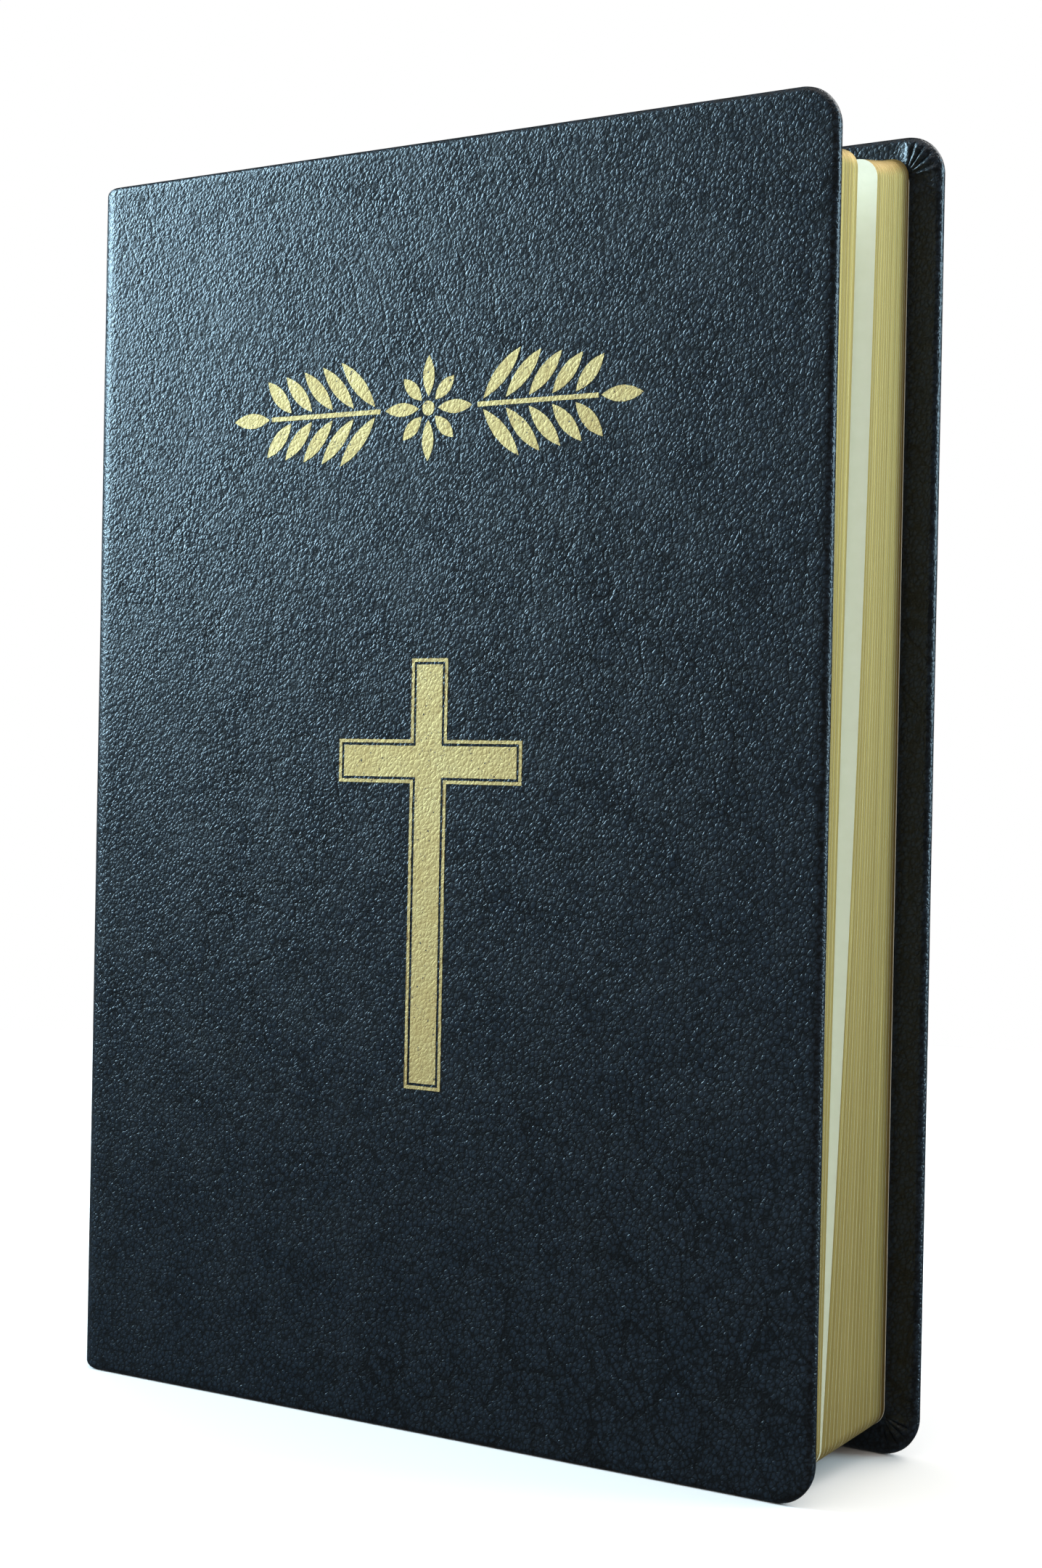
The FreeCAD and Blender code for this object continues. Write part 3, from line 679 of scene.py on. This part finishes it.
def makeSection(number, slab):
    node = f"section_{number:02d}"
    place = sectionPlaces(node)
    piece = slab.copy()
    piece.data = slab.data.copy()
    bpy.context.scene.collection.objects.link(piece)
    piece.name = f"section{number:02d}"
    piece.data.name = piece.name
    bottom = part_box(node)[0].z
    halfEase = (sectionPitch - leaves["air"]) / 2
    behind = number > leaves["partedAfter"]
    reliefs = [random.uniform(-1, 1) * leaves["relief"] for _ in range(leaves["bundles"])]
    sideReliefs = [random.uniform(-1, 1) * leaves["relief"] * 0.4 for _ in range(leaves["bundles"])]
    for heights in (reliefs, sideReliefs):
        heights[0] = heights[-1] = 0.0
    corner = leaves["corner"]
    cornerX = pageWidth - corner
    slopes = []
    for index in (1, 2):
        z0, z1 = place["tail"][0], place["head"][0]
        slopes.append(((place["head"][index] - place["tail"][index]) / (z1 - z0), place["tail"][index], z0))
    uvLayer = piece.data.uv_layers.new(name="leaves")
    paths = []
    flats = []
    for vertex in piece.data.vertices:
        x, t, z = vertex.co
        flats.append((x, t, z))
        # path length round the outline, for the streaks of the gilding
        if x > cornerX:
            path = pageWidth + z
        elif z > pageHeight / 2:
            path = pageWidth + pageHeight + (pageWidth - x)
        else:
            path = x
        paths.append(path)

        # each bundle ends a little further out or in than the next one
        position = t * leaves["bundles"]
        bundle = min(int(position + 0.02), leaves["bundles"] - 1)
        nearEdge = min(position - bundle, bundle + 1 - position)
        inCorner = x > cornerX + 1e-7 and (z < corner or z > pageHeight - corner)
        push = 0.0
        if x > pageWidth - 1e-6 or z < 1e-6 or z > pageHeight - 1e-6 or inCorner:
            push = mix(sideReliefs[bundle], reliefs[bundle], clamp((x - cornerX) / corner))
            if nearEdge < 0.03:
                push -= leaves["groove"] * 0.5
        outX = clamp((x - cornerX) / corner)
        outZ = 0.0
        if z < corner:
            outZ = -(corner - z) / corner
        elif z > pageHeight - corner:
            outZ = (z - pageHeight + corner) / corner

        # the slab's thickness runs from the section's front leaf to its back leaf
        level = bottom + z
        forward = max(0, 1 - (number - 1 + t) / leaves["count"])
        atTail, atHead = leaves["tailDroop"] * forward, leaves["headDroop"] * (forward ** 0.8 - 0.25)
        droop = mix(atTail, atHead, level / bookHeight) * x / pageWidth
        bow = 0.0
        if behind:
            share = 1 - (number - leaves["partedAfter"] - 1 + t) / (leaves["count"] - leaves["partedAfter"])
            bow = leaves["bow"] * share * math.sin(math.pi * z / pageHeight)
        if x < leaves["ease"]:
            half = mix(leaves["fold"], halfEase, x / leaves["ease"])
            low, high = place["foldY"] - half, place["foldY"] + half
        else:
            along = (x - leaves["ease"]) / (pageWidth - leaves["ease"])
            foreYs = [start + slope * (level - z0) for slope, start, z0 in slopes]
            low = mix(place["foldY"] - halfEase, foreYs[0], along) + bow * along * along
            high = mix(place["foldY"] + halfEase, foreYs[1], along) + bow * along * along
        across = place["foldX"] + x + outX * push
        if x < 1e-6:
            across += leaves["fold"] * (1 - math.sqrt(max(0, 1 - (2 * t - 1) ** 2)))
        vertex.co = (across, mix(low, high, t), level + outZ * push - droop)
    for polygon in piece.data.polygons:
        # outer leaves and the fold are bare paper, the three cut edges are gilt
        ts = [flats[i][1] for i in polygon.vertices]
        isLeaf = max(ts) - min(ts) < 1e-6
        isFold = max(flats[i][0] for i in polygon.vertices) < 1e-6
        polygon.material_index = 0 if isLeaf or isFold else 1
        for loop in polygon.loop_indices:
            index = piece.data.loops[loop].vertex_index
            uvLayer.data[loop].uv = ((number + flats[index][1]) * sectionPitch, paths[index])
    piece.data.materials.append(bookPaper)
    piece.data.materials.append(gilt)
    smooth(piece, 30)
    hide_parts(node)
    body = next(name for name, nodes in frame["record"]["behaviour"]["bodies"].items() if node in nodes)
    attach(piece, body)


firstLow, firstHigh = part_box("section_01")
pageWidth = firstHigh.x - firstLow.x
pageHeight = firstHigh.z - firstLow.z
sectionPitch = sectionPlaces("section_28")["foldY"] - sectionPlaces("section_01")["foldY"]
sectionPitch /= leaves["count"] - 1
leafSlab = makeLeafSlab()
for sectionNumber in range(1, leaves["count"] + 1):
    makeSection(sectionNumber, leafSlab)
bpy.data.objects.remove(leafSlab)
print("sections made")


# head and tail bands: silk wound round a cord, sewn to the ends of the folds

band = {"bead": 2.2 * mm, "turn": 0.55 * mm, "ridge": 0.07 * mm, "cloth": 0.25 * mm}


def makeBand(node, name):
    low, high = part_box(node)
    length = high.y - low.y
    turns = round(length / band["turn"])
    radius = band["bead"] / 2
    upper = low.z > bookHeight / 2
    beadZ = high.z - radius if upper else low.z + radius
    deselectAll()
    bpy.ops.mesh.primitive_cylinder_add(vertices=20, radius=radius - band["ridge"], depth=length,
                                        location=(low.x + radius, 0, beadZ), rotation=(math.pi / 2, 0, 0))
    piece = nameIt(name)
    bpy.ops.object.transform_apply(location=True, rotation=True, scale=True)
    bpy.ops.object.mode_set(mode="EDIT")
    for cut in range(1, turns * 2):
        bpy.ops.mesh.select_all(action="SELECT")
        bpy.ops.mesh.bisect(plane_co=(0, low.y + length * cut / (turns * 2), 0), plane_no=(0, 1, 0))
    bpy.ops.object.mode_set(mode="OBJECT")
    axis = Vector((low.x + radius, 0, beadZ))
    for vertex in piece.data.vertices:
        step = round((vertex.co.y - low.y) / length * turns * 2)
        spoke = Vector((vertex.co.x, 0, vertex.co.z)) - axis
        if step % 2 and spoke.length > radius * 0.5:
            spoke = spoke.normalized() * radius
            vertex.co.x = axis.x + spoke.x
            vertex.co.z = axis.z + spoke.z
    # the tongue of cloth that is glued down the spine
    tongueLow = low.z if upper else low.z + radius
    tongueHigh = beadZ if upper else high.z
    bpy.ops.mesh.primitive_cube_add(size=1, scale=(band["cloth"], length, tongueHigh - tongueLow),
                                    location=(low.x + band["cloth"] / 2, 0, (tongueLow + tongueHigh) / 2))
    tongue = bpy.context.object
    bpy.ops.object.transform_apply(location=True, rotation=True, scale=True)
    activate(tongue)
    bpy.ops.object.mode_set(mode="EDIT")
    bpy.ops.mesh.select_all(action="SELECT")
    bpy.ops.mesh.bevel(offset=0.05 * mm, segments=2)
    bpy.ops.object.mode_set(mode="OBJECT")
    piece.select_set(True)
    bpy.context.view_layer.objects.active = piece
    bpy.ops.object.join()
    smooth(piece, 60)
    piece.data.materials.append(silk)
    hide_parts(node)
    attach(piece, "spine")


makeBand("head_band", "headBand")
makeBand("tail_band", "tailBand")
print("head and tail bands made")


# stamping

stamp = {"film": 0.05 * mm, "proud": 0.03 * mm, "ragged": 0.06 * mm, "line": 0.55 * mm, "gap": 0.45 * mm}


def raggedEdge(piece):
    # the press leaves the foil's outline a little uneven; the shape lies in XZ
    free = {i for key, uses in edgeUses(piece).items() if uses == 1 for i in key}
    for i in free:
        vertex = piece.data.vertices[i]
        spot = vertex.co / (0.5 * mm)
        vertex.co.x += stamp["ragged"] * noise.noise(spot)
        vertex.co.z += stamp["ragged"] * noise.noise(spot + Vector((7, 7, 7)))


def pressOn(piece, node):
    # lays a flat shape in XZ on the front cover and gives it the thickness of the film
    raggedEdge(piece)
    for vertex in piece.data.vertices:
        vertex.co.y = outerY["front"] - faceWave(vertex.co.x, vertex.co.z) - stamp["proud"]
    activate(piece)
    bpy.ops.object.mode_set(mode="EDIT")
    bpy.ops.mesh.select_all(action="SELECT")
    bpy.ops.mesh.normals_make_consistent(inside=False)
    bpy.ops.object.mode_set(mode="OBJECT")
    if sum(polygon.normal.y for polygon in piece.data.polygons) > 0:
        flipNormals(piece)
    applyModifier(piece, "SOLIDIFY", thickness=stamp["film"], offset=-1)
    piece.data.materials.append(foil)
    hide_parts(node)
    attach(piece, "front_cover")


def crossSheet(name, low, high, limb, armLow):
    # stem and arms from one grid with the four empty quarters taken out
    middle = (low.x + high.x) / 2
    left, right = middle - limb / 2, middle + limb / 2
    columns = evenly(low.x, left, 40)[:-1] + evenly(left, right, 16)[:-1] + evenly(right, high.x, 40)
    rows = evenly(low.z, armLow, 120)[:-1] + evenly(armLow, armLow + limb, 16)[:-1]
    rows += evenly(armLow + limb, high.z, 32)
    piece = addGrid(name, columns, rows)
    bpy.ops.object.mode_set(mode="EDIT")
    bpy.ops.mesh.select_mode(type="FACE")
    bpy.ops.mesh.select_all(action="DESELECT")
    bpy.ops.object.mode_set(mode="OBJECT")
    for polygon in piece.data.polygons:
        centre = polygon.center
        offStem = abs(centre.x - middle) > limb / 2
        offArms = centre.y < armLow or centre.y > armLow + limb
        polygon.select = offStem and offArms
    bpy.ops.object.mode_set(mode="EDIT")
    bpy.ops.mesh.delete(type="FACE")
    bpy.ops.object.mode_set(mode="OBJECT")
    for vertex in piece.data.vertices:
        vertex.co = (vertex.co.x, 0, vertex.co.y)
    return piece


def makeCross():
    low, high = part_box("foil_cross")
    points = [v.co for v in frame["nodes"]["foil_cross"].data.vertices]
    top = [p.x for p in points if p.z > high.z - 1e-6]
    limb = max(top) - min(top)
    atArm = [p.z for p in points if p.x > high.x - 1e-6]
    core = crossSheet("foilCross", low, high, limb, min(atArm))
    pressOn(core, "foil_cross")
    low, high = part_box("foil_cross_outline")
    reach = stamp["line"] + stamp["gap"]
    ring = crossSheet("foilCrossOutline", low, high, limb + 2 * reach, min(atArm) - reach)
    # everything further in than the line's width is taken out again
    activate(ring)
    bpy.ops.object.mode_set(mode="EDIT")
    bpy.ops.mesh.select_mode(type="FACE")
    bpy.ops.mesh.select_all(action="SELECT")
    bpy.ops.mesh.dissolve_limited(angle_limit=0.01)
    bpy.ops.mesh.select_all(action="SELECT")
    bpy.ops.mesh.inset(thickness=stamp["line"], depth=0)
    bpy.ops.mesh.delete(type="FACE")
    bpy.ops.mesh.select_all(action="SELECT")
    for _ in range(6):
        bpy.ops.mesh.subdivide(number_cuts=1, quadcorner="STRAIGHT_CUT")
    bpy.ops.object.mode_set(mode="OBJECT")
    pressOn(ring, "foil_cross_outline")


makeCross()


laurel = {"petals": 8, "pairs": 5, "lean": 48}    # lean: degrees between leaf and stem


def makeLeafShape():
    # one willow leaf: a disc drawn out to two points, 1 long and 1 wide
    deselectAll()
    bpy.ops.mesh.primitive_circle_add(vertices=32, radius=0.5, fill_type="TRIFAN")
    leaf = nameIt("laurelLeaf")
    for vertex in leaf.data.vertices:
        x = vertex.co.x
        side = 1 if vertex.co.y > 0 else -1
        if abs(vertex.co.y) > 1e-6:
            vertex.co.y = side * 0.5 * (1 - (2 * x) ** 2)
    return leaf


def makeOrnament():
    low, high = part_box("foil_ornament")
    centre = Vector(((low.x + high.x) / 2, 0, (low.z + high.z) / 2))
    halfLength = (high.x - low.x) / 2
    halfHeight = (high.z - low.z) / 2
    leaf = makeLeafShape()
    parts = []

    def addLeaf(rootX, rootZ, length, width, angle):
        part = leaf.copy()
        part.data = leaf.data.copy()
        bpy.context.scene.collection.objects.link(part)
        for vertex in part.data.vertices:
            along, across = (vertex.co.x + 0.5) * length, vertex.co.y * width
            vertex.co = (centre.x + rootX + along * math.cos(angle) - across * math.sin(angle), 0,
                         centre.z + rootZ + along * math.sin(angle) + across * math.cos(angle))
        parts.append(part)

    for petal in range(laurel["petals"]):
        angle = petal * 2 * math.pi / laurel["petals"]
        reach = halfHeight * (1.0 if petal % 2 == 0 else 0.82)
        start = halfHeight * 0.22
        addLeaf(start * math.cos(angle), start * math.sin(angle), reach - start, halfHeight * 0.26, angle)
    stemStart, stemStop = halfHeight * 1.12, halfLength * 0.80
    stemHalf = halfHeight * 0.045
    pitch = (stemStop - stemStart) / (laurel["pairs"] + 0.2)
    lean = math.radians(laurel["lean"])
    for side in (-1, 1):
        tipStart = stemStop + halfHeight * 0.06
        addLeaf(side * tipStart, 0, halfLength - tipStart, halfHeight * 0.3, 0 if side > 0 else math.pi)
        deselectAll()
        bpy.ops.mesh.primitive_grid_add(x_subdivisions=60, y_subdivisions=2, size=1)
        stem = nameIt("laurelStem")
        for vertex in stem.data.vertices:
            vertex.co = (centre.x + side * mix(stemStart, stemStop, vertex.co.x + 0.5), 0,
                         centre.z + vertex.co.y * 2 * stemHalf)
        parts.append(stem)
        for pair in range(laurel["pairs"]):
            rootX = stemStart + pitch * (pair + 0.25)
            rootZ = stemHalf * 2.2
            length = (halfHeight - rootZ) / math.sin(lean) * (1 - 0.07 * pair)
            for up in (-1, 1):
                angle = up * lean if side > 0 else math.pi - up * lean
                addLeaf(side * rootX, up * rootZ, length, halfHeight * 0.29, angle)
    deselectAll()
    bpy.ops.mesh.primitive_circle_add(vertices=32, radius=halfHeight * 0.14, fill_type="TRIFAN")
    disc = nameIt("rosetteDisc")
    for vertex in disc.data.vertices:
        vertex.co = (centre.x + vertex.co.x, 0, centre.z + vertex.co.y)
    parts.append(disc)
    deselectAll()
    for part in parts:
        part.select_set(True)
    bpy.context.view_layer.objects.active = disc
    bpy.ops.object.join()
    piece = nameIt("foilLaurelBand")
    bpy.data.objects.remove(leaf)
    activate(piece)
    bpy.ops.object.mode_set(mode="EDIT")
    bpy.ops.mesh.select_all(action="SELECT")
    bpy.ops.mesh.subdivide(number_cuts=2)
    bpy.ops.object.mode_set(mode="OBJECT")
    pressOn(piece, "foil_ornament")


makeOrnament()
print("stamping made")


# CAD nodes that stay get their material

finishes = {
    "front_board": greyBoard, "back_board": greyBoard, "spine_inlay": greyBoard,
    "front_flyleaf": endPaper, "back_flyleaf": endPaper,
    "spine_lining": kraft, "mull": gauze, "sewing_thread": linen,
}
for node, material in finishes.items():
    mesh = frame["nodes"][node].data
    mesh.materials.clear()
    mesh.materials.append(material)


# floor, light and camera

studio = {"floor": 0.6, "lens": 56.73, "camera": (230.3 * mm, -346.7 * mm, 108.3 * mm),
          "azimuth": 32.8, "elevation": 0.355, "roll": 1.105, "cool": "c2e9ff", "paper": "dfd9d4"}

deselectAll()
bpy.ops.mesh.primitive_circle_add(vertices=96, radius=studio["floor"], fill_type="NGON", location=(0, 0, 0))
floor = nameIt("floor")
floorMaterial, floorTree, floorShader = startMaterial("paleStudioFloor", Roughness=0.9, Specular_IOR_Level=0.0)
floorShader.inputs["Base Color"].default_value = hexColour(studio["paper"])
floor.data.materials.append(floorMaterial)
floor.visible_glossy = False

world = bpy.data.worlds.new("studio")
bpy.context.scene.world = world
world.use_nodes = True
worldTree = world.node_tree
background = worldTree.nodes["Background"]
background.inputs["Color"].default_value = (1, 1, 1, 1)
# bright all round for the eye and the shadows, dim in reflections, so that only the softboxes shine
glossy = addNode(worldTree, "ShaderNodeLightPath", output="Is Glossy Ray")
dimmed = addNode(worldTree, "ShaderNodeMapRange", {"Value": glossy, "To Min": 1.0, "To Max": 0.05})
worldTree.links.new(dimmed, background.inputs["Strength"])


def addArea(name, azimuth, elevation, distance, width, height, power, colour=studio["cool"]):
    # a softbox at an angle round the book, facing its middle
    a, e = math.radians(azimuth), math.radians(elevation)
    aim = Vector((0, 0, bookHeight / 2))
    place = aim + distance * Vector((math.sin(a) * math.cos(e), -math.cos(a) * math.cos(e), math.sin(e)))
    data = bpy.data.lights.new(name, "AREA")
    data.shape = "RECTANGLE"
    data.size = width
    data.size_y = height
    data.energy = power
    data.color = hexColour(colour)[:3]
    light = bpy.data.objects.new(name, data)
    bpy.context.scene.collection.objects.link(light)
    light.location = place
    light.rotation_mode = "QUATERNION"
    light.rotation_quaternion = (aim - place).to_track_quat("-Z", "Y")


addArea("softboxLeft", -69, 25, 0.95, 0.3, 0.6, 21)
addArea("softboxRight", 114, 16, 1.1, 0.4, 0.8, 12)
addArea("softboxBehind", 150, 50, 1.1, 0.7, 0.7, 6, "ffffff")
addArea("softboxTop", 10, 75, 1.2, 1.0, 1.0, 3, "ffffff")

azimuth, elevation, roll = (math.radians(studio[key]) for key in ("azimuth", "elevation", "roll"))
back = Vector((math.sin(azimuth) * math.cos(elevation), -math.cos(azimuth) * math.cos(elevation),
               math.sin(elevation)))
right = Vector((math.cos(azimuth), math.sin(azimuth), 0))
up = back.cross(right)
cameraRight = right * math.cos(roll) + up * math.sin(roll)
cameraUp = up * math.cos(roll) - right * math.sin(roll)
cameraData = bpy.data.cameras.new("camera")
cameraData.lens = studio["lens"]
cameraData.sensor_width = 36
cameraData.clip_start = 0.01
camera = bpy.data.objects.new("camera", cameraData)
bpy.context.scene.collection.objects.link(camera)
turn = Matrix((cameraRight, cameraUp, back)).transposed().to_4x4()
camera.matrix_world = Matrix.Translation(Vector(studio["camera"])) @ turn
bpy.context.scene.camera = camera
bpy.context.scene.view_settings.view_transform = "Standard"
